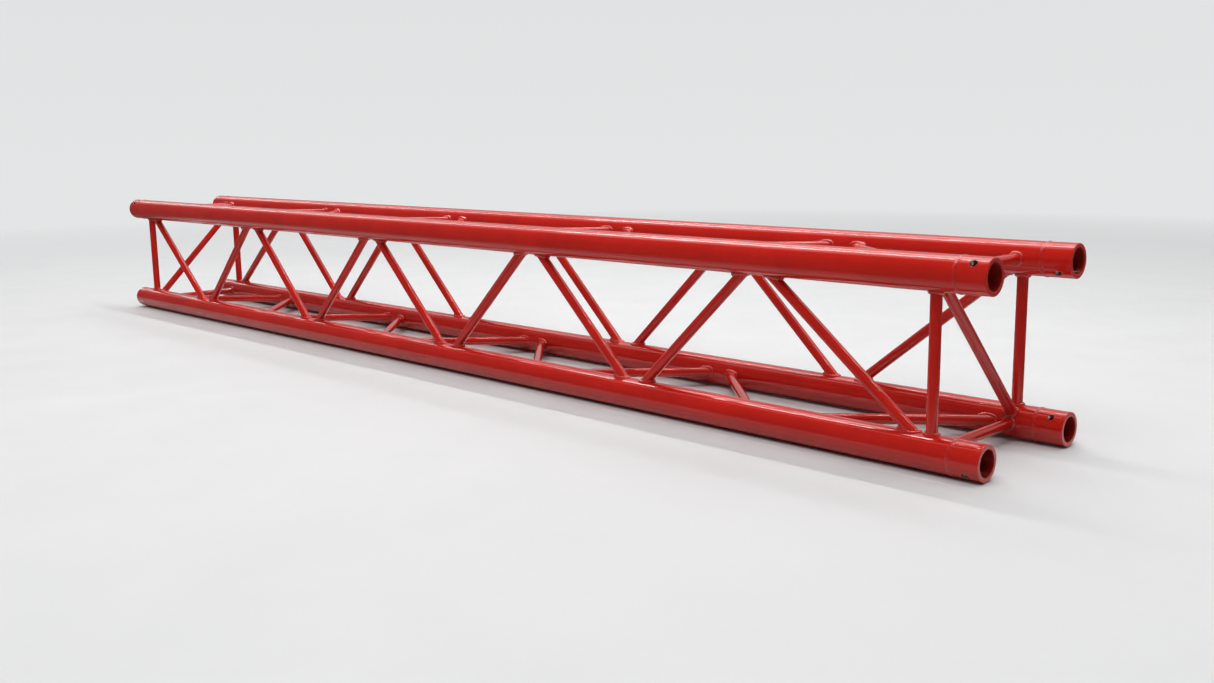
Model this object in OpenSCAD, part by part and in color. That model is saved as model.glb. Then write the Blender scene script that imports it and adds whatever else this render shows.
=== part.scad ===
// Square lighting truss section: four chord tubes, a socket at each chord end, and
// tube bracing on all four faces, welded together.
// X runs along the section, Y across it and Z up. The origin is the centre of the section.
// Chords are numbered 0 to 3: front top, front bottom, rear bottom, rear top.
// Face n lies between chord n and the next one: 0 front, 1 bottom, 2 rear, 3 top.

/* [Frame] */
// Length over the socket faces
truss_length = 2500; // [2300:50:2900]
// Chord centre to chord centre, across and up
chord_pitch = 240; // [220:5:300]

/* [Chord tube] */
// Outside diameter of a chord tube
chord_d = 50; // [48:1:52]
// Wall of a chord tube
chord_wall = 2; // [1.5:0.5:3]

/* [Bracing] */
// Outside diameter of a rung, a diagonal or a cross brace
brace_d = 16; // [12:1:17]
// Wall of a brace
brace_wall = 2; // [1:0.5:3]
// Socket face to the centre of the end rungs
rung_inset = 80; // [78:1:95]
// Run along the chord of the first and last diagonal of each face
end_bay = 295; // [280:5:320]

/* [Socket] */
// Length of the collar outside the chord tube
collar_length = 43; // [38:1:44]
// Length of the shank inside the chord tube
shank_length = 30; // [20:1:40]
// Radial gap between the shank and the chord tube
shank_gap = 0.1; // [0.05:0.05:0.3]
// Diameter of the socket at its mouth
mouth_d = 37.4; // [36:0.2:38]
// Length of the parallel land behind the mouth
land_length = 8; // [4:1:12]
// Diameter at the inner end of the taper
throat_d = 31.4; // [30:0.2:34]
// Chamfer on the edges of the socket face
face_chamfer = 0.8; // [0.4:0.2:1.2]

/* [Cross pin hole] */
// Socket face to the hole centre
pin_inset = 20.5; // [18:0.5:24]
// Diameter where the pin goes in
pin_d = 10.4; // [9.6:0.2:11]
// Diameter where the pin comes out
pin_tip_d = 9; // [8:0.2:9.4]

/* [Welds] */
// Leg of the fillet weld round a brace foot
foot_leg = 3; // [2:0.5:3.5]
// Half width of the bead round a socket seam
seam_half_width = 3; // [2.5:0.5:4]
// Height of that bead above the tube
seam_height = 0.9; // [0.5:0.1:1.2]
// Depth of the groove that the bead fills
seam_groove = 1.4; // [1:0.2:1.6]

/* [Hidden] */
$fn = 48;
POWDER_RED = "#C23430";
WELD_RED = "#B82F2C";
RIGHT = 1;
LEFT = -1;
DIAGONALS = 9;

chord_r = chord_d / 2;
half_pitch = chord_pitch / 2;
end_x = truss_length / 2;
rung_x = end_x - rung_inset;
tube_length = truss_length - 2 * collar_length;
inner_bay = (2 * rung_x - 2 * end_bay) / (DIAGONALS - 2);
shank_r = chord_r - chord_wall - shank_gap;
socket_depth = collar_length + shank_length;
foot_zone = 2.6 * chord_d;
foot_reach = 2.6 * chord_d;
rod_turn = 45;
cut = 1;

// The chord after chord n, going round the section.
function next(n) = (n + 1) % 4;

// A point on the axis of chord n.
function on_chord(n, x) = [
    x,
    (n == 0 || n == 1) ? -half_pitch : half_pitch,
    (n == 0 || n == 3) ? half_pitch : -half_pitch
];

// Station of zigzag node j, 0 at the left rung and DIAGONALS at the right rung.
function node_x(j) =
    j == 0 ? -rung_x :
    j == DIAGONALS ? rung_x :
    -rung_x + end_bay + (j - 1) * inner_bay;

// Point of zigzag node j on face n: even nodes lie on chord n, odd ones on the next chord.
function zigzag(n, j) = on_chord(j % 2 == 0 ? n : next(n), node_x(j));

// Far ends of the braces that meet chord n at its zigzag node j.
function zigzag_tips(n, j) =
    let (face = j % 2 == 0 ? n : (n + 3) % 4)
    [for (i = [j - 1, j + 1]) if (i >= 0 && i <= DIAGONALS) zigzag(face, i)];

// Far ends of the rungs and of the cross brace that meet chord n at one end.
function end_tips(n, side) =
    let (x = side * rung_x, crossed = n % 2 == (side == RIGHT ? 0 : 1))
    concat(
        [on_chord(next(n), x), on_chord((n + 3) % 4, x)],
        crossed ? [on_chord((n + 2) % 4, x)] : []
    );

// Solid rod from a towards b. Its seam line is turned away from the joints at its ends.
module rod(a, b, d, reach) {
    v = b - a;
    translate(a)
        rotate([0, acos(v.z / norm(v)), atan2(v.y, v.x)])
            rotate([0, 0, rod_turn])
                cylinder(d = d, h = reach);
}

// Short solid length of chord round a point on its axis, with its seam line outermost.
module chord_piece(p, d) {
    translate(p)
        rotate([atan2(p.y, -p.z), 0, 0])
            rotate([0, 90, 0])
                cylinder(d = d, h = foot_zone, center = true);
}

// Brace tube between two chord axes, with both ends coped to the chords.
module brace(a, b) {
    color(POWDER_RED)
    difference() {
        rod(a, b, brace_d, norm(b - a));
        rod(a, b, brace_d - 2 * brace_wall, norm(b - a));
        chord_piece(a, chord_d);
        chord_piece(b, chord_d);
    }
}

module chord_tube(n) {
    color(POWDER_RED)
    translate(on_chord(n, 0))
        rotate([0, 90, 0])
            rotate_extrude()
                polygon([
                    [chord_r - chord_wall, -tube_length / 2],
                    [chord_r - seam_groove, -tube_length / 2],
                    [chord_r, -tube_length / 2 + seam_groove],
                    [chord_r, tube_length / 2 - seam_groove],
                    [chord_r - seam_groove, tube_length / 2],
                    [chord_r - chord_wall, tube_length / 2]
                ]);
}

// Half section of a receiver: first number radius, second number depth behind the face.
module receiver_section() {
    polygon([
        [mouth_d / 2 + face_chamfer, 0],
        [chord_r - face_chamfer, 0],
        [chord_r, face_chamfer],
        [chord_r, collar_length - seam_groove],
        [chord_r - seam_groove, collar_length],
        [shank_r, collar_length],
        [shank_r, socket_depth - face_chamfer],
        [shank_r - face_chamfer, socket_depth],
        [throat_d / 2, socket_depth],
        [mouth_d / 2, face_chamfer + land_length],
        [mouth_d / 2, face_chamfer]
    ]);
}

// Places a shape made with its depth along Z at the socket face of chord n.
module at_socket(n, side) {
    translate(on_chord(n, side * end_x))
        rotate([0, -side * 90, 0])
            children();
}

// The cross pin hole points at the centre line of the section and tapers inwards.
module receiver(n, side) {
    corner = on_chord(n, 0);
    centre = on_chord(n, side * (end_x - pin_inset));
    outward = [0, sign(corner.y), sign(corner.z)] / sqrt(2);
    color(POWDER_RED)
    difference() {
        at_socket(n, side)
            rotate_extrude()
                receiver_section();
        translate(centre + outward * (chord_r + cut))
            rotate([0, acos(-outward.z), atan2(-outward.y, 0)])
                cylinder(
                    d1 = pin_d,
                    d2 = pin_tip_d,
                    h = chord_d + 2 * cut
                );
    }
}

module rung(n, side) {
    brace(on_chord(n, side * rung_x), on_chord(next(n), side * rung_x));
}

// The right cross brace joins chords 0 and 2, the left one chords 1 and 3.
module cross_brace(side) {
    first = side == RIGHT ? 0 : 1;
    brace(on_chord(first, side * rung_x), on_chord(first + 2, side * rung_x));
}

// Diagonal i of face n, counted from 1 at the left.
module diagonal(n, i) {
    brace(zigzag(n, i - 1), zigzag(n, i));
}

// Weld metal between a chord and the brace feet that start at one point of its axis.
module foot_welds(start, tips) {
    difference() {
        intersection() {
            union()
                for (tip = tips)
                    rod(start, tip, brace_d + 2 * foot_leg, foot_reach);
            chord_piece(start, chord_d + 2 * foot_leg);
        }
        chord_piece(start, chord_d);
        for (tip = tips)
            rod(start, tip, brace_d, foot_reach);
    }
}

// Half section of a seam bead: a filled groove with a low crown, centred on depth 0.
module seam_section() {
    crown_r = (pow(seam_half_width, 2) + pow(seam_height, 2)) / (2 * seam_height);
    polygon([
        [chord_r - seam_groove, 0],
        [chord_r, -seam_groove],
        [chord_r, seam_groove]
    ]);
    intersection() {
        translate([chord_r + seam_height - crown_r, 0])
            circle(r = crown_r);
        translate([chord_r, -seam_half_width])
            square([2 * seam_height, 2 * seam_half_width]);
    }
}

module seam_weld(n, side) {
    at_socket(n, side)
        translate([0, 0, collar_length])
            rotate_extrude()
                seam_section();
}

// Welds at both ends: socket seams, and the feet of rungs, cross braces and outer diagonals.
module end_welds() {
    color(WELD_RED)
    for (n = [0 : 3], side = [LEFT, RIGHT]) {
        j = side == LEFT ? 0 : DIAGONALS;
        foot_welds(on_chord(n, side * rung_x), concat(end_tips(n, side), zigzag_tips(n, j)));
        seam_weld(n, side);
    }
}

// Welds at the feet of the diagonals between the ends.
module panel_welds() {
    color(WELD_RED)
    for (n = [0 : 3], j = [1 : DIAGONALS - 1], tip = zigzag_tips(n, j))
        foot_welds(on_chord(n, node_x(j)), [tip]);
}

chord_tube(0);  // front_top_chord
chord_tube(1);  // front_bottom_chord
chord_tube(2);  // rear_bottom_chord
chord_tube(3);  // rear_top_chord
receiver(0, LEFT);  // left_front_top_receiver
receiver(1, LEFT);  // left_front_bottom_receiver
receiver(2, LEFT);  // left_rear_bottom_receiver
receiver(3, LEFT);  // left_rear_top_receiver
receiver(0, RIGHT);  // right_front_top_receiver
receiver(1, RIGHT);  // right_front_bottom_receiver
receiver(2, RIGHT);  // right_rear_bottom_receiver
receiver(3, RIGHT);  // right_rear_top_receiver
rung(0, LEFT);  // left_front_rung
rung(1, LEFT);  // left_bottom_rung
rung(2, LEFT);  // left_rear_rung
rung(3, LEFT);  // left_top_rung
rung(0, RIGHT);  // right_front_rung
rung(1, RIGHT);  // right_bottom_rung
rung(2, RIGHT);  // right_rear_rung
rung(3, RIGHT);  // right_top_rung
cross_brace(LEFT);  // left_cross_brace
cross_brace(RIGHT);  // right_cross_brace
diagonal(0, 1);  // front_diagonal_1
diagonal(0, 2);  // front_diagonal_2
diagonal(0, 3);  // front_diagonal_3
diagonal(0, 4);  // front_diagonal_4
diagonal(0, 5);  // front_diagonal_5
diagonal(0, 6);  // front_diagonal_6
diagonal(0, 7);  // front_diagonal_7
diagonal(0, 8);  // front_diagonal_8
diagonal(0, 9);  // front_diagonal_9
diagonal(1, 1);  // bottom_diagonal_1
diagonal(1, 2);  // bottom_diagonal_2
diagonal(1, 3);  // bottom_diagonal_3
diagonal(1, 4);  // bottom_diagonal_4
diagonal(1, 5);  // bottom_diagonal_5
diagonal(1, 6);  // bottom_diagonal_6
diagonal(1, 7);  // bottom_diagonal_7
diagonal(1, 8);  // bottom_diagonal_8
diagonal(1, 9);  // bottom_diagonal_9
diagonal(2, 1);  // rear_diagonal_1
diagonal(2, 2);  // rear_diagonal_2
diagonal(2, 3);  // rear_diagonal_3
diagonal(2, 4);  // rear_diagonal_4
diagonal(2, 5);  // rear_diagonal_5
diagonal(2, 6);  // rear_diagonal_6
diagonal(2, 7);  // rear_diagonal_7
diagonal(2, 8);  // rear_diagonal_8
diagonal(2, 9);  // rear_diagonal_9
diagonal(3, 1);  // top_diagonal_1
diagonal(3, 2);  // top_diagonal_2
diagonal(3, 3);  // top_diagonal_3
diagonal(3, 4);  // top_diagonal_4
diagonal(3, 5);  // top_diagonal_5
diagonal(3, 6);  // top_diagonal_6
diagonal(3, 7);  // top_diagonal_7
diagonal(3, 8);  // top_diagonal_8
diagonal(3, 9);  // top_diagonal_9
end_welds();
panel_welds();
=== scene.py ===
"""Looks of one square lighting-truss section: red powder-coated aluminium tube, welded.

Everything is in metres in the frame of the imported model: X runs along the section, Z is up and
the front face looks along -Y. Corners are numbered 0 to 3 round the section, and face n lies
between corner n and the next one, as in the CAD source.
"""
import math
import random

import bmesh
import bpy
from mathutils import Matrix, Vector


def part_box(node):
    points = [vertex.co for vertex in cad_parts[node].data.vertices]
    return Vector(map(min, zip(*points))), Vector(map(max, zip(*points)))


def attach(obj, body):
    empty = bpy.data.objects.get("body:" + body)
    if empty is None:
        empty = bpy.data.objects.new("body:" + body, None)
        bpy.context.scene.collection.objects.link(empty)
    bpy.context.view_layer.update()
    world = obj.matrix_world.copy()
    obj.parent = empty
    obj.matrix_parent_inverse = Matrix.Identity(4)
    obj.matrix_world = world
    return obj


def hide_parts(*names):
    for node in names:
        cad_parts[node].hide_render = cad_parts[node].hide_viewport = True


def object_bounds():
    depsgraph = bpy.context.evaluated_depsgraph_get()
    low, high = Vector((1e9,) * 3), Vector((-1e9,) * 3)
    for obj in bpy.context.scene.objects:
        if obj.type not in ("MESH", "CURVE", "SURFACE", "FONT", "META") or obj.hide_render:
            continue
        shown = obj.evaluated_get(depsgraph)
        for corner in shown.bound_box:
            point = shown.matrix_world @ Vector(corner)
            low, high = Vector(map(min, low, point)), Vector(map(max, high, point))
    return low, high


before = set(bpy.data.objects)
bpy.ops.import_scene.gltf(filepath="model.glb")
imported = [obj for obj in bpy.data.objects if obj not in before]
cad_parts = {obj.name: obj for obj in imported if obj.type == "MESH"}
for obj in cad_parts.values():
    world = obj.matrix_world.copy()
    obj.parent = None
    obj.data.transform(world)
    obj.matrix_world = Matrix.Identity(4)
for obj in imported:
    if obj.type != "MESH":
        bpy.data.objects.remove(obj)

CAD_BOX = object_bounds()
MM = 0.001

CORNERS = ("front_top", "front_bottom", "rear_bottom", "rear_top")
FACES = ("front", "bottom", "rear", "top")
SIDES = {"left": -1, "right": 1}
AXIS = Vector((1, 0, 0))

# Sizes that the boxes of the CAD nodes give, then walls, bays and bores, which a box can't show.
END_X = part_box("right_front_top_receiver")[1].x
HALF_PITCH = sum(c.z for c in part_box("front_top_chord")) / 2
SEAM_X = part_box("front_top_chord")[1].x
RUNG_X = sum(c.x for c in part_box("right_front_rung")) / 2
CHORD_R = 25 * MM
CHORD_WALL = 2 * MM
BRACE_R = 8 * MM
BRACE_WALL = 2 * MM
END_BAY = 295 * MM
DIAGONALS = 9
INNER_BAY = (2 * RUNG_X - 2 * END_BAY) / (DIAGONALS - 2)

# A receiver: depths are counted from its face.
SEAM_GROOVE = 1.4 * MM
COLLAR = 43 * MM
SOCKET_DEPTH = 73 * MM
SHANK_R = 22.9 * MM
MOUTH_R = 18.7 * MM
THROAT_R = 15.7 * MM
LAND_END = 8.8 * MM
PIN_DEPTH = 20.5 * MM
PIN_R_MEAN = 4.85 * MM
PIN_TAPER = 0.35 / 25

TUBE_SEGMENTS = 96
BRACE_SEGMENTS = 64
SHARP = math.radians(38)
STEEP = 0.8


# ---------------------------------------------------------------- where things are

def next_corner(n):
    return (n + 1) % 4


def on_chord(n, x):
    """A point of chord n's axis."""
    y = -HALF_PITCH if n in (0, 1) else HALF_PITCH
    z = HALF_PITCH if n in (0, 3) else -HALF_PITCH
    return Vector((x, y, z))


def outward(n):
    """Unit vector from the section's centre line to chord n."""
    p = on_chord(n, 0)
    return p / p.length


def node_x(j):
    """Station of zigzag node j, counted from the left rung."""
    if j == 0:
        return -RUNG_X
    if j == DIAGONALS:
        return RUNG_X
    return -RUNG_X + END_BAY + (j - 1) * INNER_BAY


def zigzag(n, j):
    return on_chord(n if j % 2 == 0 else next_corner(n), node_x(j))


def braces():
    """Every brace as (CAD node, start, end, weld group at the start, weld group at the end)."""
    made = []
    for n, face in enumerate(FACES):
        for side, sign in SIDES.items():
            x = sign * RUNG_X
            start, end = on_chord(n, x), on_chord(next_corner(n), x)
            made.append((f"{side}_{face}_rung", start, end, "end", "end"))
        for i in range(1, DIAGONALS + 1):
            first = "end" if i == 1 else face
            last = "end" if i == DIAGONALS else face
            made.append((f"{face}_diagonal_{i}", zigzag(n, i - 1), zigzag(n, i), first, last))
    for side, n in (("right", 0), ("left", 1)):
        x = SIDES[side] * RUNG_X
        made.append((f"{side}_cross_brace", on_chord(n, x), on_chord(n + 2, x), "end", "end"))
    return made


# ---------------------------------------------------------------- mesh work

class Shape:
    """Points and quads that become one mesh."""

    def __init__(self):
        self.points = []
        self.faces = []
        self.slots = []

    def add(self, points):
        first = len(self.points)
        self.points.extend(points)
        return range(first, first + len(points))

    def quad(self, a, b, c, d, slot=0):
        self.faces.append((a, b, c, d))
        self.slots.append(slot)

    def skin(self, rings, closed, slot=0):
        """Quads between closed rings of equal length; closed joins the last ring to the first."""
        last = len(rings) if closed else len(rings) - 1
        for i in range(last):
            one, two = rings[i], rings[(i + 1) % len(rings)]
            for j in range(len(one)):
                k = (j + 1) % len(one)
                self.quad(one[j], one[k], two[k], two[j], slot)

    def build(self, name, materials, node, slot_name):
        mesh = bpy.data.meshes.new(name)
        mesh.from_pydata(self.points, [], self.faces)
        mesh.polygons.foreach_set("material_index", self.slots)
        for material in materials:
            mesh.materials.append(material)
        work = bmesh.new()
        work.from_mesh(mesh)
        bmesh.ops.recalc_face_normals(work, faces=work.faces)
        work.to_mesh(mesh)
        work.free()
        mesh.shade_smooth()
        mesh.set_sharp_from_angle(angle=SHARP)
        piece = bpy.data.objects.new(name, mesh)
        bpy.context.scene.collection.objects.link(piece)
        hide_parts(node)
        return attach(piece, "root")


def square_to(direction):
    """Two unit vectors square to direction and to each other."""
    helper = Vector((0, 0, 1)) if abs(direction.z) < STEEP else AXIS
    u = direction.cross(helper).normalized()
    return u, direction.cross(u).normalized()


def out_of_chord(p, d):
    """How far along d the line from p leaves a chord whose axis runs through the origin."""
    a = d.y * d.y + d.z * d.z
    b = p.y * d.y + p.z * d.z
    c = p.y * p.y + p.z * p.z - CHORD_R * CHORD_R
    return (-b + math.sqrt(max(b * b - a * c, 0))) / a


# ---------------------------------------------------------------- braces

BRACE_RINGS = 12


def coped_brace(name, start, end, materials):
    """Brace tube whose outer and inner walls both end on the chords."""
    along = (end - start).normalized()
    span = (end - start).length
    u, v = square_to(along)
    shape = Shape()
    loops = []
    for k in range(BRACE_SEGMENTS):
        angle = 2 * math.pi * k / BRACE_SEGMENTS
        side = u * math.cos(angle) + v * math.sin(angle)
        outer, inner = side * BRACE_R, side * (BRACE_R - BRACE_WALL)
        o0, o1 = out_of_chord(outer, along), span - out_of_chord(outer, -along)
        i0, i1 = out_of_chord(inner, along), span - out_of_chord(inner, -along)
        reaches = [o0 + (o1 - o0) * s / BRACE_RINGS for s in range(BRACE_RINGS + 1)]
        loop = [start + outer + along * reach for reach in reaches]
        loop += [start + inner + along * i1, start + inner + along * i0]
        loops.append(shape.add(loop))
    shape.skin(loops, closed=True)
    return shape.build(name + "_tube", materials, name, "powder_coat")


# ---------------------------------------------------------------- chords

CHORD_STEP = 6 * MM
# The wall pulls in this deep and this far round a weld, and at most so many times that deep.
DRAW_DEPTH = 0.1 * MM
DRAW_REACH = 15 * MM
MOST_DRAWS = 1.5


def feet_on(n, all_braces):
    """(station, direction in the YZ plane) of every brace foot on chord n."""
    feet = []
    here = on_chord(n, 0)
    for _, a, b, _, _ in all_braces:
        for p, q in ((a, b), (b, a)):
            if abs(p.y - here.y) < MM and abs(p.z - here.z) < MM:
                d = (q - p).normalized()
                reach = out_of_chord(Vector(), d)
                feet.append((p.x + d.x * reach, math.atan2(d.z, d.y)))
    return feet


def drawn_in(feet, x, angle):
    """How far the tube wall has pulled in near its welds."""
    total = 0.0
    for station, way in feet:
        dx = abs(x - station)
        if dx < 3 * DRAW_REACH:
            turn = (angle - way + math.pi) % (2 * math.pi) - math.pi
            reach2 = dx * dx + (turn * CHORD_R) ** 2
            total += math.exp(-reach2 / (2 * DRAW_REACH ** 2))
    return DRAW_DEPTH * min(total, MOST_DRAWS)


def chord_tube(n, all_braces, materials):
    """Chord between its two seams, with the V groove that each seam bead fills."""
    name = CORNERS[n] + "_chord"
    feet = feet_on(n, all_braces)
    shoulder = SEAM_X - SEAM_GROOVE
    count = round(2 * shoulder / CHORD_STEP)
    stations = [-shoulder + 2 * shoulder * i / count for i in range(count + 1)]
    centre = on_chord(n, 0)
    shape = Shape()
    loops = []
    for k in range(TUBE_SEGMENTS):
        angle = 2 * math.pi * k / TUBE_SEGMENTS
        way = Vector((0, math.cos(angle), math.sin(angle)))
        loop = [centre + AXIS * -SEAM_X + way * (CHORD_R - SEAM_GROOVE)]
        loop += [centre + AXIS * x + way * (CHORD_R - drawn_in(feet, x, angle)) for x in stations]
        loop += [
            centre + AXIS * SEAM_X + way * (CHORD_R - SEAM_GROOVE),
            centre + AXIS * SEAM_X + way * (CHORD_R - CHORD_WALL),
            centre + AXIS * -SEAM_X + way * (CHORD_R - CHORD_WALL),
        ]
        loops.append(shape.add(loop))
    shape.skin(loops, closed=True)
    return shape.build(name + "_tube", materials, name, "powder_coat")


# ---------------------------------------------------------------- receivers

# The wall is a grid of columns round it and rows along it, with a window round each pin hole.
COLUMNS = 128
PATCH_COLUMNS = 7
PATCH_ROWS = 14
PATCH_HALF = 8.6 * MM
# Rounding of the hole's rims, and the rings between a rim and its window.
RIM_ROUND = 0.5 * MM
INNER_RIM_ROUND = 0.3 * MM
RIM_STEPS = 4
SPOKE_STEPS = (0.1, 0.25, 0.5, 0.75)
# Rounding of the edges of the socket face.
EDGE_ROUND = 0.8 * MM
EDGE_STEPS = 4
# Rows that break up the long stretches outside and inside.
OUTER_ROWS = (6 * MM, 35 * MM)
INNER_ROWS = (4 * MM, 38 * MM, 50 * MM)
# Material slots of a receiver.
COAT, BARE, SOCKET = 0, 1, 2


def socket_radius(depth):
    """Radius of the socket at a depth behind its face: a parallel land, then a taper."""
    if depth <= LAND_END:
        return MOUTH_R
    share = (depth - LAND_END) / (SOCKET_DEPTH - LAND_END)
    return MOUTH_R + (THROAT_R - MOUTH_R) * min(share, 1)


def quarter(depth, radius, turn_in, turn_out):
    """Rounded edge: points of a quarter turn about (depth, radius) between two directions."""
    return [
        (
            depth + EDGE_ROUND * (turn_in[0] * math.cos(t) + turn_out[0] * math.sin(t)),
            radius + EDGE_ROUND * (turn_in[1] * math.cos(t) + turn_out[1] * math.sin(t)),
        )
        for t in (math.pi / 2 * i / EDGE_STEPS for i in range(EDGE_STEPS + 1))
    ]


def patch_depths():
    """Depths of the rows of a window."""
    start = PIN_DEPTH - PATCH_HALF
    return [start + 2 * PATCH_HALF * i / PATCH_ROWS for i in range(PATCH_ROWS + 1)]


def receiver_rows():
    """Closed half section as (depth, radius), and the first row of the outer and inner patch."""
    face_out = quarter(EDGE_ROUND, CHORD_R - EDGE_ROUND, (-1, 0), (0, 1))
    face_in = quarter(EDGE_ROUND, MOUTH_R + EDGE_ROUND, (0, -1), (-1, 0))
    rows = face_out + [(OUTER_ROWS[0], CHORD_R)]
    outer_first = len(rows)
    rows += [(d, CHORD_R) for d in patch_depths()]
    rows += [
        (OUTER_ROWS[1], CHORD_R),
        (COLLAR - SEAM_GROOVE, CHORD_R),
        (COLLAR, CHORD_R - SEAM_GROOVE),
        (COLLAR, SHANK_R),
        (SOCKET_DEPTH - EDGE_ROUND, SHANK_R),
        (SOCKET_DEPTH, SHANK_R - EDGE_ROUND),
        (SOCKET_DEPTH, THROAT_R),
        (INNER_ROWS[2], socket_radius(INNER_ROWS[2])),
        (INNER_ROWS[1], socket_radius(INNER_ROWS[1])),
    ]
    inner_first = len(rows)
    rows += [(d, socket_radius(d)) for d in reversed(patch_depths())]
    rows += [(LAND_END, MOUTH_R), (INNER_ROWS[0], MOUTH_R)]
    rows += face_in
    return rows, outer_first, inner_first


def window_edge(first, middle, reverse):
    """Grid points round a window, always in the same turning direction."""
    low, high = middle - PATCH_COLUMNS, middle + PATCH_COLUMNS
    rows = range(first, first + PATCH_ROWS + 1)
    if reverse:
        rows = rows[::-1]
    spots = [(rows[0], c) for c in range(low, high)]
    spots += [(row, high) for row in rows[:-1]]
    spots += [(rows[-1], c) for c in range(high, low, -1)]
    spots += [(row, low) for row in rows[:0:-1]]
    return [(row, c % COLUMNS) for row, c in spots]


def hole_radius(height):
    """Radius of the pin hole at a height above the chord's axis."""
    return PIN_R_MEAN + PIN_TAPER * height


def on_surface(radius_at, t, q, end):
    """Height of a round surface at t sideways and q along from the hole's axis."""
    radius = radius_at(PIN_DEPTH + q)
    return end * math.sqrt(radius * radius - t * t)


class Receiver:
    """Machined socket with its tapered cross pin hole through both walls."""

    def __init__(self, n, side):
        self.name = f"{side}_{CORNERS[n]}_receiver"
        self.sign = SIDES[side]
        self.out = outward(n)
        self.across = AXIS.cross(self.out)
        self.face = on_chord(n, self.sign * END_X)
        self.rows, self.outer_first, self.inner_first = receiver_rows()
        self.shape = Shape()
        self.grid = [self.shape.add(self.ring(depth, radius)) for depth, radius in self.rows]

    def place(self, depth, height, sideways):
        return self.face - AXIS * (self.sign * depth) + self.out * height + self.across * sideways

    def ring(self, depth, radius):
        angles = [2 * math.pi * c / COLUMNS for c in range(COLUMNS)]
        return [self.place(depth, radius * math.cos(a), radius * math.sin(a)) for a in angles]

    def in_window(self, row, column):
        firsts = (self.outer_first, self.inner_first)
        lows = (-PATCH_COLUMNS, COLUMNS // 2 - PATCH_COLUMNS)
        row_in = any(first <= row < first + PATCH_ROWS for first in firsts)
        return row_in and min((column - low) % COLUMNS for low in lows) < 2 * PATCH_COLUMNS

    def wall(self):
        """Quads all over the grid but for the windows."""
        rows, grid = self.rows, self.grid
        for i in range(len(rows)):
            j = (i + 1) % len(rows)
            inside = max(rows[i][1], rows[j][1]) <= MOUTH_R + EDGE_ROUND / 2
            slot = SOCKET if inside else COAT
            for c in range(COLUMNS):
                if not self.in_window(i, c):
                    k = (c + 1) % COLUMNS
                    self.shape.quad(grid[i][c], grid[i][k], grid[j][k], grid[j][c], slot)

    def flat(self, i, c):
        """Sideways and depth offsets of a grid point from the hole's axis."""
        angle = 2 * math.pi * c / COLUMNS
        return self.rows[i][1] * math.sin(angle), self.rows[i][0] - PIN_DEPTH

    def spokes(self, edge, turns, radius_at, rounding, end):
        """Rings from a window's edge in towards the hole's rim."""
        rim = hole_radius(end * radius_at(PIN_DEPTH)) + rounding
        for share in reversed(SPOKE_STEPS):
            loop = []
            for (i, c), turn in zip(edge, turns):
                t0, q0 = rim * math.cos(turn), rim * math.sin(turn)
                t1, q1 = self.flat(i, c)
                t, q = t0 + (t1 - t0) * share, q0 + (q1 - q0) * share
                loop.append(self.place(PIN_DEPTH + q, on_surface(radius_at, t, q, end), t))
            yield self.shape.add(loop)

    def rim(self, turns, radius_at, rounding, inward, end):
        """Rings of the hole's rounded rim, from the surface to the hole's wall."""
        for step in range(RIM_STEPS + 1):
            bend = math.pi / 2 * step / RIM_STEPS
            radius = hole_radius(end * radius_at(PIN_DEPTH)) + rounding * (1 - math.sin(bend))
            drop = end * inward * rounding * (1 - math.cos(bend))
            loop = []
            for turn in turns:
                t, q = radius * math.cos(turn), radius * math.sin(turn)
                loop.append(self.place(PIN_DEPTH + q, on_surface(radius_at, t, q, end) - drop, t))
            yield self.shape.add(loop)

    def hole(self, middle, end):
        """The pin hole in one side: a rounded rim in each surface and the bare wall between."""
        outer_edge = window_edge(self.outer_first, middle, False)
        inner_edge = window_edge(self.inner_first, middle, True)
        turns = [math.atan2(q, t) for t, q in (self.flat(i, c) for i, c in outer_edge)]
        surfaces = [
            (outer_edge, lambda depth: CHORD_R, RIM_ROUND, 1, COAT),
            (inner_edge, socket_radius, INNER_RIM_ROUND, -1, SOCKET),
        ]
        rims = []
        for edge, radius_at, rounding, inward, slot in surfaces:
            loops = [[self.grid[i][c] for i, c in edge]]
            loops += self.spokes(edge, turns, radius_at, rounding, end)
            loops += self.rim(turns, radius_at, rounding, inward, end)
            self.shape.skin(loops, closed=False, slot=slot)
            rims.append(loops[-1])
        self.shape.skin(rims, closed=False, slot=BARE)

    def build(self, materials):
        self.wall()
        self.hole(0, 1)
        self.hole(COLUMNS // 2, -1)
        return self.shape.build(self.name + "_body", materials, self.name, "powder_coat")


# ---------------------------------------------------------------- weld beads

# A foot bead: its width from toe to toe, its longest leg and its crown.
BEAD_WIDTH = 5.0 * MM
MAX_LEG = 5.6 * MM
BEAD_CROWN = 0.95 * MM
# Ripples: their spacing and height, how much the toes follow them, and their bow across.
RIPPLE_PITCH = 3.3 * MM
RIPPLE_HEIGHT = 0.55 * MM
RIPPLE_TOE = 0.2
RIPPLE_BOW = 0.42
RIPPLE_SAMPLES = 8
RIPPLE_SHARPNESS = 0.7
BEAD_ARC = 9
CROWN_FULLNESS = 0.8
# How deep the bead's hidden side sits in the tubes.
SINK = 0.5 * MM
# Where a pass starts or stops the bead is thicker; between, it varies slowly.
STOP_SWELL = 0.2
STOP_REACH = 3.2 * MM
STOP_GAP = (0.44, 0.56)
UNEVEN = 0.07
UNEVEN_WAVES = (1, 2, 3, 5)
LEAST_WAVE = 0.3
RIM_SAMPLES = 720


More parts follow.
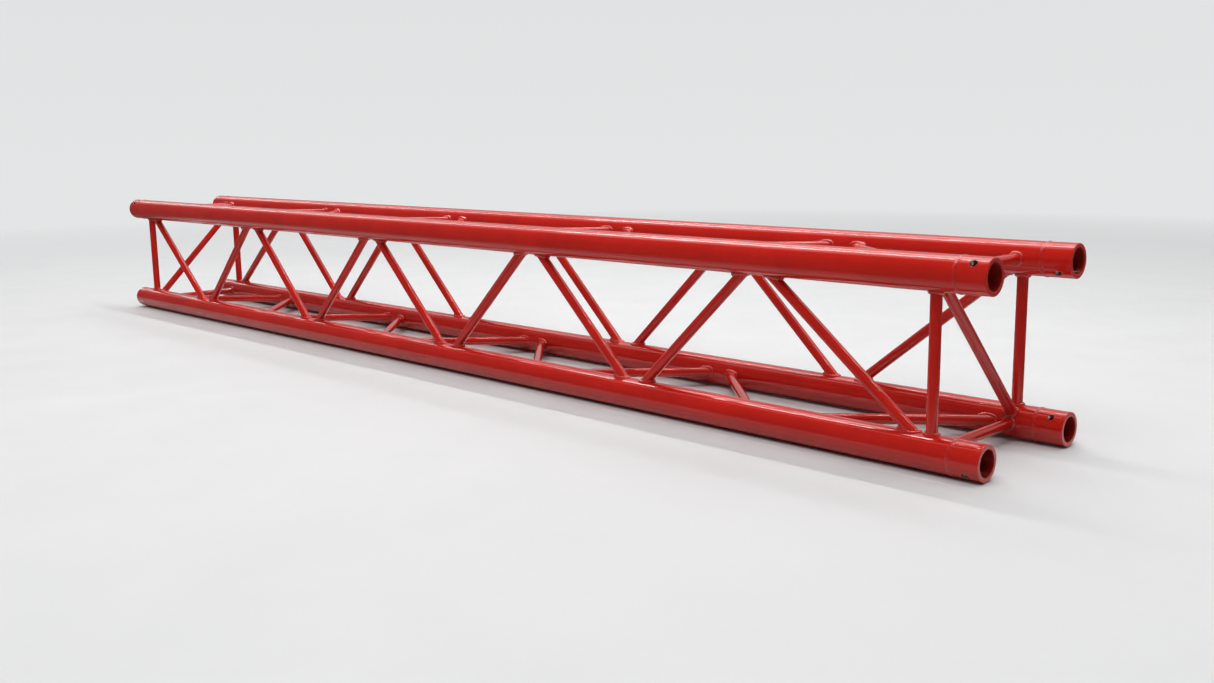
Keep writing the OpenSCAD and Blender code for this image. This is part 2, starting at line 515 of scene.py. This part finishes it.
class Hand:
    """One welder's pass: seeded unevenness, and where the bead starts and stops."""

    def __init__(self, rng, length):
        self.length = length
        self.stops = [rng.random() * length]
        self.stops.append((self.stops[0] + length * rng.uniform(*STOP_GAP)) % length)
        self.waves = []
        for k in UNEVEN_WAVES:
            high = rng.uniform(LEAST_WAVE, 1) * UNEVEN / k ** 0.5
            self.waves.append((k, high, rng.uniform(0, 2 * math.pi)))
        self.ripples = round(length / RIPPLE_PITCH)

    def swell(self, s):
        """Scale of the bead at s along it."""
        turn = 2 * math.pi * s / self.length
        size = 1 + sum(high * math.sin(k * turn + start) for k, high, start in self.waves)
        for stop in self.stops:
            gap = abs((s - stop + self.length / 2) % self.length - self.length / 2)
            size += STOP_SWELL * math.exp(-((gap / STOP_REACH) ** 2))
        return size

    def ripple(self, s, w):
        """0 in a valley and 1 on a crest, with the crests bowed across the bead."""
        phase = self.ripples * s / self.length - RIPPLE_BOW * w * w
        return abs(math.sin(math.pi * phase)) ** RIPPLE_SHARPNESS


def arc_shares():
    """Places across the bead from toe to toe, -1 to 1."""
    return [-math.cos(math.pi * i / (BEAD_ARC - 1)) for i in range(BEAD_ARC)]


def foot_rim(along):
    """Where a brace's outside meets its chord: (point, way out of the brace), and lengths so far."""
    u, v = square_to(along)
    rim = []
    for k in range(RIM_SAMPLES):
        angle = 2 * math.pi * k / RIM_SAMPLES
        side = u * math.cos(angle) + v * math.sin(angle)
        p = side * BRACE_R
        rim.append((p + along * out_of_chord(p, along), side))
    lengths = [0.0]
    for k in range(RIM_SAMPLES):
        lengths.append(lengths[-1] + (rim[(k + 1) % RIM_SAMPLES][0] - rim[k][0]).length)
    return rim, lengths


def toward(vector, way):
    """The unit vector along vector or against it, whichever has way on its side."""
    unit = vector.normalized()
    return unit if unit.dot(way) > 0 else -unit


def foot_section(p, side, run, along, hand, s):
    """Section of a foot bead at s along it, from its toe on the brace to its toe on the chord."""
    normal = Vector((0, p.y, p.z)).normalized()
    up = toward(run.cross(side), along)
    off = toward(run.cross(normal), side)
    opening = up.angle(off)
    leg = min(BEAD_WIDTH / (2 * math.sin(opening / 2)), MAX_LEG) * hand.swell(s)
    toe = leg * (1 + RIPPLE_TOE * (hand.ripple(s, 1) - 0.5))
    a = p + up * toe
    radial = a - along * a.dot(along)
    a = along * a.dot(along) + radial.normalized() * BRACE_R
    c = p + off * toe
    on_tube = Vector((0, c.y, c.z)).normalized() * CHORD_R
    c = Vector((c.x, on_tube.y, on_tube.z))
    bulge = (up + off).normalized()
    section = []
    for w in arc_shares():
        base = a + (c - a) * ((w + 1) / 2)
        crown = (1 - w * w) ** CROWN_FULLNESS
        height = BEAD_CROWN * hand.swell(s) * crown
        height += RIPPLE_HEIGHT * (hand.ripple(s, w) - 0.5) * crown ** 0.5
        section.append(base + bulge * height)
    return section + [c - normal * SINK, p - bulge * SINK, a - side * SINK]


def foot_bead(shape, start, tip, rng):
    """Rippled fillet bead round the foot of the brace that runs from start to tip."""
    along = (tip - start).normalized()
    rim, lengths = foot_rim(along)
    total = lengths[-1]
    hand = Hand(rng, total)
    count = hand.ripples * RIPPLE_SAMPLES
    loops = []
    k = 0
    for m in range(count):
        s = total * m / count
        while lengths[k + 1] < s:
            k += 1
        share = (s - lengths[k]) / (lengths[k + 1] - lengths[k])
        (p0, side0), (p1, side1) = rim[k], rim[(k + 1) % RIM_SAMPLES]
        p = p0.lerp(p1, share)
        side = side0.lerp(side1, share).normalized()
        section = foot_section(p, side, (p1 - p0).normalized(), along, hand, s)
        loops.append(shape.add([start + point for point in section]))
    shape.skin(loops, closed=True)


SEAM_HALF_WIDTH = 3 * MM
SEAM_CROWN = 0.6 * MM
SEAM_RIPPLE = 0.4 * MM
# Shares of a foot bead's toe ripple and of its swelling that a seam bead has.
SEAM_TOE = 0.6
SEAM_SWELL = 0.15
WELD_SEED = 41


def seam_bead(shape, n, sign, rng):
    """Low rippled bead round the seam between a receiver and its chord."""
    centre = on_chord(n, sign * SEAM_X)
    total = 2 * math.pi * CHORD_R
    hand = Hand(rng, total)
    count = hand.ripples * RIPPLE_SAMPLES
    loops = []
    for m in range(count):
        s = total * m / count
        angle = 2 * math.pi * m / count
        way = Vector((0, math.cos(angle), math.sin(angle)))
        half = SEAM_HALF_WIDTH * (1 + SEAM_TOE * RIPPLE_TOE * (hand.ripple(s, 1) - 0.5))
        half *= 1 - SEAM_SWELL + SEAM_SWELL * hand.swell(s)
        loop = []
        for w in arc_shares():
            crown = 1 - w * w
            height = SEAM_CROWN * crown + SEAM_RIPPLE * (hand.ripple(s, w) - 0.5) * crown ** 0.5
            loop.append(centre + AXIS * (w * half) + way * (CHORD_R + height))
        loop.append(centre + AXIS * (half - MM) + way * (CHORD_R - SINK))
        loop.append(centre + way * (CHORD_R - 2 * SINK))
        loop.append(centre - AXIS * (half - MM) + way * (CHORD_R - SINK))
        loops.append(shape.add(loop))
    shape.skin(loops, closed=True)


def weld_pieces(all_braces, materials):
    """The end welds as one piece, and the panel welds as one piece per face."""
    rng = random.Random(WELD_SEED)
    groups = {key: Shape() for key in ("end",) + FACES}
    for _, a, b, at_a, at_b in all_braces:
        foot_bead(groups[at_a], a, b, rng)
        foot_bead(groups[at_b], b, a, rng)
    for n in range(4):
        for sign in SIDES.values():
            seam_bead(groups["end"], n, sign, rng)
    groups["end"].build("end_weld_beads", materials, "end_welds", "weld_coat")
    for face in FACES:
        groups[face].build(face + "_weld_beads", materials, "panel_welds", "weld_coat")


# ---------------------------------------------------------------- materials

# Scales of noise are in cells per metre. MIDDLE and WIDE are the stretches of a noise's values
# that a ramp spreads from 0 to 1.
MIDDLE = (0.35, 0.65)
WIDE = (0.3, 0.7)

TUBE_COAT = {
    "base": (0.50, 0.0100, 0.0045, 1),
    "deep": (0.44, 0.0080, 0.0036, 1),
    "peel": 1.0,
    "rough": 0.085,
    "clear": 0.25,
    "clear_ior": 1.5,
}
WELD_COAT = {
    "base": (0.48, 0.0095, 0.0042, 1),
    "deep": (0.41, 0.0075, 0.0034, 1),
    "peel": 0.5,
    "rough": 0.075,
    "clear": 0.5,
    "clear_ior": 1.6,
}
COAT_IOR = 1.5
# Painted light: the paint's reflections are tinted warm, standing for warm lamps; the lamps
# themselves are white.
WARM_LIGHT_TINT = (1.0, 0.97, 0.93, 1)
CLEAR_ROUGHNESS = 0.03
FILM_SCALE = 14
SPECK_SCALE = 900
SPECKS = (0.70, 0.80)
SPECK_STRENGTH = 0.25
SPECK_SHADE = 0.55
DUST_SCALE = 38
DUST_PATCHES = (0.52, 0.78)
DUST_GRAIN_SCALE = 310
DUST_GRAINS = (0.42, 0.7)
DUST_STRENGTH = 0.035
DUST_COLOUR = (0.55, 0.30, 0.26, 1)
DUST_DULLS = 0.12
GLOSS_SCALE = 22
GLOSS_SPREAD = (0.8, 1.35)
PEEL_SCALE = 430
PEEL_HEIGHT = 0.02 * MM
GRIT_SCALE = 1500
GRIT_HEIGHT = 0.0035 * MM


class Nodes:
    """A few shorthands for building one material's node tree."""

    def __init__(self, name):
        self.material = bpy.data.materials.new(name)
        self.material.use_nodes = True
        self.tree = self.material.node_tree
        self.shader = self.tree.nodes["Principled BSDF"]

    def add(self, kind, **inputs):
        node = self.tree.nodes.new(kind)
        for key, value in inputs.items():
            self.put(node, key.replace("_", " "), value)
        return node

    def put(self, node, key, value):
        socket = node.inputs[key]
        if isinstance(value, bpy.types.NodeSocket):
            self.tree.links.new(value, socket)
        else:
            socket.default_value = value

    def place(self):
        return self.add("ShaderNodeTexCoord").outputs["Object"]

    def noise(self, scale, detail, roughness=0.5):
        node = self.add("ShaderNodeTexNoise", Scale=scale, Detail=detail, Roughness=roughness)
        self.tree.links.new(self.place(), node.inputs["Vector"])
        return node.outputs["Fac"]

    def ramp(self, value, low, high, to_low=0.0, to_high=1.0):
        node = self.add("ShaderNodeMapRange")
        node.clamp = True
        self.put(node, "Value", value)
        self.put(node, "From Min", low)
        self.put(node, "From Max", high)
        self.put(node, "To Min", to_low)
        self.put(node, "To Max", to_high)
        return node.outputs["Result"]

    def math(self, operation, a, b=0.0):
        node = self.tree.nodes.new("ShaderNodeMath")
        node.operation = operation
        self.put(node, 0, a)
        self.put(node, 1, b)
        return node.outputs[0]

    def mix(self, share, a, b):
        node = self.tree.nodes.new("ShaderNodeMix")
        node.data_type = "RGBA"
        self.put(node, 0, share)
        self.put(node, 6, a)
        self.put(node, 7, b)
        return node.outputs[2]

    def bump(self, height, distance, under=None):
        node = self.add("ShaderNodeBump", Height=height, Distance=distance, Strength=1.0)
        if under is not None:
            self.tree.links.new(under, node.inputs["Normal"])
        return node.outputs["Normal"]


def powder_coat(name, base, deep, peel, rough, clear, clear_ior):
    """Gloss powder coat: orange peel, slight film-thickness shade, specks and a little dust."""
    n = Nodes(name)
    colour = n.mix(n.ramp(n.noise(FILM_SCALE, 3), *MIDDLE), base, deep)
    speck = n.ramp(n.noise(SPECK_SCALE, 1), *SPECKS, 0, SPECK_STRENGTH)
    colour = n.mix(speck, colour, (*[c * SPECK_SHADE for c in base[:3]], 1))
    patches = n.ramp(n.noise(DUST_SCALE, 6, 0.65), *DUST_PATCHES)
    grains = n.ramp(n.noise(DUST_GRAIN_SCALE, 4, 0.7), *DUST_GRAINS)
    dust = n.math("MULTIPLY", patches, grains)
    colour = n.mix(n.math("MULTIPLY", dust, DUST_STRENGTH), colour, DUST_COLOUR)
    n.put(n.shader, "Base Color", colour)
    low, high = (rough * share for share in GLOSS_SPREAD)
    gloss = n.ramp(n.noise(GLOSS_SCALE, 5, 0.6), *WIDE, low, high)
    n.put(n.shader, "Roughness", n.math("ADD", gloss, n.math("MULTIPLY", dust, DUST_DULLS)))
    coarse = n.bump(n.noise(PEEL_SCALE, 2, 0.45), PEEL_HEIGHT * peel)
    fine = n.bump(n.noise(GRIT_SCALE, 1, 0.5), GRIT_HEIGHT * peel, under=coarse)
    n.put(n.shader, "Normal", fine)
    n.put(n.shader, "IOR", COAT_IOR)
    # Painted light: warm tint on the reflections.
    n.put(n.shader, "Specular Tint", WARM_LIGHT_TINT)
    n.put(n.shader, "Coat Weight", clear)
    n.put(n.shader, "Coat IOR", clear_ior)
    n.put(n.shader, "Coat Roughness", CLEAR_ROUGHNESS)
    return n.material


# Painted shade: the socket's coat is darker than the tube's and turns to a dark bare colour deep in,
# standing for the shade inside the socket; the thin, dull overspray itself is real.
SOCKET_COAT_IN_PAINTED_SHADE = (0.26, 0.0060, 0.0030, 1)
SOCKET_COAT_DEEPER_IN_PAINTED_SHADE = (0.20, 0.0055, 0.0030, 1)
BARE_WALL_IN_PAINTED_SHADE = (0.20, 0.12, 0.11, 1)
THIN_CLOUD_SCALE = 120
# Depths behind the face where the coat starts to thin and where it has turned into the dark bare
# colour, painted shade of the deep socket, and how uneven.
THIN_OUT_INTO_PAINTED_SHADE = (0.05, 0.085)
THIN_UNEVEN = 0.03
THIN_GLOSS_SCALE = 240
THIN_GLOSS = (0.28, 0.45)
THIN_GRAIN_SCALE = 700
THIN_GRAIN_HEIGHT = 0.03 * MM


def thin_coat_with_painted_shade():
    """Inside of a socket, where the powder only drifts in: duller and thinning with depth, and
    darkened by painted shade, darkest deepest in.
    """
    n = Nodes("powder_coat_thin_with_painted_shade")
    x = n.add("ShaderNodeSeparateXYZ", Vector=n.place()).outputs[0]
    depth = n.math("SUBTRACT", END_X, n.math("ABSOLUTE", x))
    cloud = n.noise(THIN_CLOUD_SCALE, 4, 0.6)
    reach = n.math("ADD", depth, n.math("MULTIPLY", cloud, THIN_UNEVEN))
    painted = n.mix(n.ramp(cloud, *MIDDLE), SOCKET_COAT_IN_PAINTED_SHADE, SOCKET_COAT_DEEPER_IN_PAINTED_SHADE)
    # Painted shade: the coat darkens with depth into the dark bare colour.
    n.put(n.shader, "Base Color", n.mix(n.ramp(reach, *THIN_OUT_INTO_PAINTED_SHADE), painted, BARE_WALL_IN_PAINTED_SHADE))
    n.put(n.shader, "Roughness", n.ramp(n.noise(THIN_GLOSS_SCALE, 3), *WIDE, *THIN_GLOSS))
    n.put(n.shader, "Normal", n.bump(n.noise(THIN_GRAIN_SCALE, 2), THIN_GRAIN_HEIGHT))
    return n.material


METAL_LIGHT = (0.62, 0.61, 0.60, 1)
METAL_DARK = (0.42, 0.41, 0.41, 1)
METAL_CLOUD_SCALE = 260
METAL_GLOSS_SCALE = 700
METAL_GLOSS = (0.22, 0.4)
METAL_GRAIN_SCALE = 1900
METAL_GRAIN_HEIGHT = 0.01 * MM


def bare_aluminium():
    """Reamed hole wall: cloudy bare metal with a fine grain."""
    n = Nodes("reamed_aluminium")
    cloud = n.ramp(n.noise(METAL_CLOUD_SCALE, 3), *MIDDLE)
    n.put(n.shader, "Base Color", n.mix(cloud, METAL_LIGHT, METAL_DARK))
    n.put(n.shader, "Metallic", 1.0)
    n.put(n.shader, "Roughness", n.ramp(n.noise(METAL_GLOSS_SCALE, 2), *WIDE, *METAL_GLOSS))
    n.put(n.shader, "Normal", n.bump(n.noise(METAL_GRAIN_SCALE, 2), METAL_GRAIN_HEIGHT))
    return n.material


# ---------------------------------------------------------------- floor and backdrop

FLOOR_DROP = 0.4 * MM
FLOOR_RINGS = (0.001, 0.5, 2, 4, 6)
FLOOR_RADIUS = 8.0
SWEEP_RADIUS = 4.0
WALL_HEIGHT = 8.0
FLOOR_SEGMENTS = 96
SWEEP_STEPS = 16
FLOOR_LIGHT = (0.58, 0.58, 0.58, 1)
FLOOR_DARK = (0.555, 0.555, 0.56, 1)
FLOOR_CLOUD_SCALE = 1.4
FLOOR_MATT_SCALE = 6
FLOOR_MATT = (0.5, 0.7)
# Distances from the middle over which the camera sees the floor turn into the even backdrop.
GLOW = (1.6, 4.8)
BACKDROP_LOW = (0.775, 0.785, 0.79, 1)
BACKDROP_HIGH = (0.68, 0.695, 0.70, 1)
# Distances from the section over which the floor that the paint mirrors gives way to a dim glowing
# grey, a painted reflection.
PAINTED_REFLECTION_FADE = (0.15, 0.5)
PAINTED_REFLECTION_GLOW = (0.12, 0.12, 0.12, 1)


def pale_studio_and_painted_reflection():
    """Matt pale floor that turns into an even backdrop; the paint mirrors it only close by, and
    further out mirrors a dim glowing grey, a painted reflection.
    """
    n = Nodes("pale_studio_and_painted_reflection")

    def distance(a, b):
        return n.math("SQRT", n.math("ADD", n.math("MULTIPLY", a, a), n.math("MULTIPLY", b, b)))

    def glowing(colour):
        glow = n.tree.nodes.new("ShaderNodeEmission")
        n.put(glow, "Color", colour)
        return glow.outputs[0]

    def blend(share, one, two):
        both = n.tree.nodes.new("ShaderNodeMixShader")
        n.put(both, 0, share)
        n.tree.links.new(one, both.inputs[1])
        n.tree.links.new(two, both.inputs[2])
        return both.outputs[0]

    cloud = n.ramp(n.noise(FLOOR_CLOUD_SCALE, 3), *WIDE)
    n.put(n.shader, "Base Color", n.mix(cloud, FLOOR_LIGHT, FLOOR_DARK))
    n.put(n.shader, "Roughness", n.ramp(n.noise(FLOOR_MATT_SCALE, 4), *WIDE, *FLOOR_MATT))
    x, y, z = n.add("ShaderNodeSeparateXYZ", Vector=n.place()).outputs
    ray = n.tree.nodes.new("ShaderNodeLightPath").outputs
    backdrop = glowing(n.mix(n.ramp(z, 0.0, WALL_HEIGHT), BACKDROP_LOW, BACKDROP_HIGH))
    far_out = n.math("MULTIPLY", n.ramp(distance(x, y), *GLOW), ray["Is Camera Ray"])
    seen = blend(far_out, n.shader.outputs[0], backdrop)
    # Painted reflection: glossy rays that meet the floor away from the section see a dim glowing grey
    # instead of the lit floor.
    past_end = n.math("MAXIMUM", n.math("SUBTRACT", n.math("ABSOLUTE", x), END_X), 0.0)
    painted_reflection_share = n.ramp(distance(past_end, y), *PAINTED_REFLECTION_FADE)
    surface = blend(n.math("MULTIPLY", painted_reflection_share, ray["Is Glossy Ray"]), seen, glowing(PAINTED_REFLECTION_GLOW))
    n.tree.links.new(surface, n.tree.nodes["Material Output"].inputs["Surface"])
    return n.material


def turned_sheet(name, profile, lowest, material):
    """Surface of revolution about Z from (radius, height) pairs."""
    points, faces = [], []
    for radius, height in profile:
        for k in range(FLOOR_SEGMENTS):
            a = 2 * math.pi * k / FLOOR_SEGMENTS
            points.append((radius * math.cos(a), radius * math.sin(a), lowest + height))
    for i in range(len(profile) - 1):
        low, high = i * FLOOR_SEGMENTS, (i + 1) * FLOOR_SEGMENTS
        for k in range(FLOOR_SEGMENTS):
            nxt = (k + 1) % FLOOR_SEGMENTS
            faces.append((low + k, high + k, high + nxt, low + nxt))
    mesh = bpy.data.meshes.new(name)
    mesh.from_pydata(points, [], faces)
    mesh.shade_smooth()
    mesh.materials.append(material)
    sheet = bpy.data.objects.new(name, mesh)
    bpy.context.scene.collection.objects.link(sheet)
    return sheet


def studio(lowest):
    """Round floor, and a sweep behind it that only the camera sees."""
    pale = pale_studio_and_painted_reflection()
    rings = [(r, 0.0) for r in FLOOR_RINGS + (FLOOR_RADIUS,)]
    turned_sheet("studio_floor", rings, lowest, pale)
    sweep = []
    for i in range(SWEEP_STEPS + 1):
        turn = math.pi / 2 * i / SWEEP_STEPS
        height = SWEEP_RADIUS * (1 - math.cos(turn))
        sweep.append((FLOOR_RADIUS + SWEEP_RADIUS * math.sin(turn), height))
    sweep.append((FLOOR_RADIUS + SWEEP_RADIUS, WALL_HEIGHT))
    wall = turned_sheet("studio_wall", sweep, lowest, pale)
    wall.visible_diffuse = False
    wall.visible_glossy = False
    wall.visible_shadow = False


# ---------------------------------------------------------------- light and camera

# Lamps along the ceiling: name, place across and up, width and radiance.
CEILING = (
    ("ceiling_box", 1.25, 3.0, 3.6, 1.0),
    ("ceiling_strip", 0.62, 2.96, 0.07, 42.0),
    ("rear_strip", 1.75, 2.96, 0.06, 20.0),
)
# Stretches of the ceiling: name, middle, length and share of the radiance.
STRETCHES = (("near", -0.1, 5.2, 1.0), ("far", -6.2, 7.0, 0.4))
KEY_AT = (0.9, -3.1, 5.4)
KEY_SIDE = 4.0
KEY_RADIANCE = 5.6
# The room's brightness by the direction's Y, from in front of the section to behind it.
ROOM_SHADE = {"From Min": -0.2, "From Max": 0.7, "To Min": 0.13, "To Max": 0.5}
ROOM_SEEN = 0.66
ROOM_COLOUR = (0.97, 0.99, 1.0, 1)
CAMERA_AT = Vector((1.9475, -1.4884, 0.3008))
CAMERA_AIM = Vector((0.44, 0.0, -0.07))
CAMERA_ROLL = math.radians(-0.8)
CAMERA_LENS = 35.0
CAMERA_SENSOR = 36.0
CAMERA_RANGE = (0.05, 60)


def soft_box(name, at, aim, width, height, radiance):
    """Area lamp of a given brightness, unseen by the camera."""
    data = bpy.data.lights.new(name, "AREA")
    data.shape = "RECTANGLE"
    data.size, data.size_y = width, height
    data.energy = radiance * math.pi * width * height
    lamp = bpy.data.objects.new(name, data)
    lamp.location = at
    lamp.rotation_mode = "QUATERNION"
    lamp.rotation_quaternion = (Vector(aim) - Vector(at)).to_track_quat("-Z", "Y")
    lamp.visible_camera = False
    bpy.context.scene.collection.objects.link(lamp)
    return lamp


def room():
    """World that is dim in front of the section and brighter behind it."""
    world = bpy.data.worlds.new("studio")
    world.use_nodes = True
    tree = world.node_tree
    background = tree.nodes["Background"]
    place = tree.nodes.new("ShaderNodeTexCoord")
    parts = tree.nodes.new("ShaderNodeSeparateXYZ")
    shade = tree.nodes.new("ShaderNodeMapRange")
    ray = tree.nodes.new("ShaderNodeLightPath")
    mix = tree.nodes.new("ShaderNodeMix")
    tree.links.new(place.outputs["Generated"], parts.inputs[0])
    tree.links.new(parts.outputs["Y"], shade.inputs["Value"])
    for key, value in ROOM_SHADE.items():
        shade.inputs[key].default_value = value
    tree.links.new(ray.outputs["Is Camera Ray"], mix.inputs[0])
    tree.links.new(shade.outputs["Result"], mix.inputs[2])
    mix.inputs[3].default_value = ROOM_SEEN
    tree.links.new(mix.outputs[0], background.inputs["Strength"])
    background.inputs["Color"].default_value = ROOM_COLOUR
    return world


def studio_light():
    """Ceiling box along the section with two brighter strips, and a key that paint doesn't mirror."""
    for stretch, x, length, share in STRETCHES:
        for lamp, y, z, width, radiance in CEILING:
            name = f"{lamp}_{stretch}"
            soft_box(name, (x, y, z), (x, y, 0), length, width, radiance * share)
    key = soft_box("front_key", KEY_AT, (0, 0, 0), KEY_SIDE, KEY_SIDE, KEY_RADIANCE)
    key.visible_glossy = False
    bpy.context.scene.world = room()
    bpy.context.scene.view_settings.view_transform = "Standard"


def camera():
    data = bpy.data.cameras.new("camera")
    data.lens = CAMERA_LENS
    data.sensor_width = CAMERA_SENSOR
    data.clip_start, data.clip_end = CAMERA_RANGE
    eye = bpy.data.objects.new("camera", data)
    eye.rotation_mode = "QUATERNION"
    turn = (CAMERA_AIM - CAMERA_AT).to_track_quat("-Z", "Y")
    eye.rotation_quaternion = turn @ Matrix.Rotation(CAMERA_ROLL, 4, "Z").to_quaternion()
    eye.location = CAMERA_AT
    bpy.context.scene.collection.objects.link(eye)
    bpy.context.scene.camera = eye


# ---------------------------------------------------------------- the section

def main():
    tube = [powder_coat("powder_coat_red", **TUBE_COAT)]
    bead = [powder_coat("powder_coat_on_weld", **WELD_COAT)]
    bare, inside = bare_aluminium(), thin_coat_with_painted_shade()
    all_braces = braces()
    for name, start, end, _, _ in all_braces:
        coped_brace(name, start, end, tube)
    for n in range(4):
        chord_tube(n, all_braces, tube)
        for side in SIDES:
            Receiver(n, side).build(tube + [bare, inside])
    weld_pieces(all_braces, bead)
    studio(CAD_BOX[0].z - FLOOR_DROP)
    studio_light()
    camera()


main()
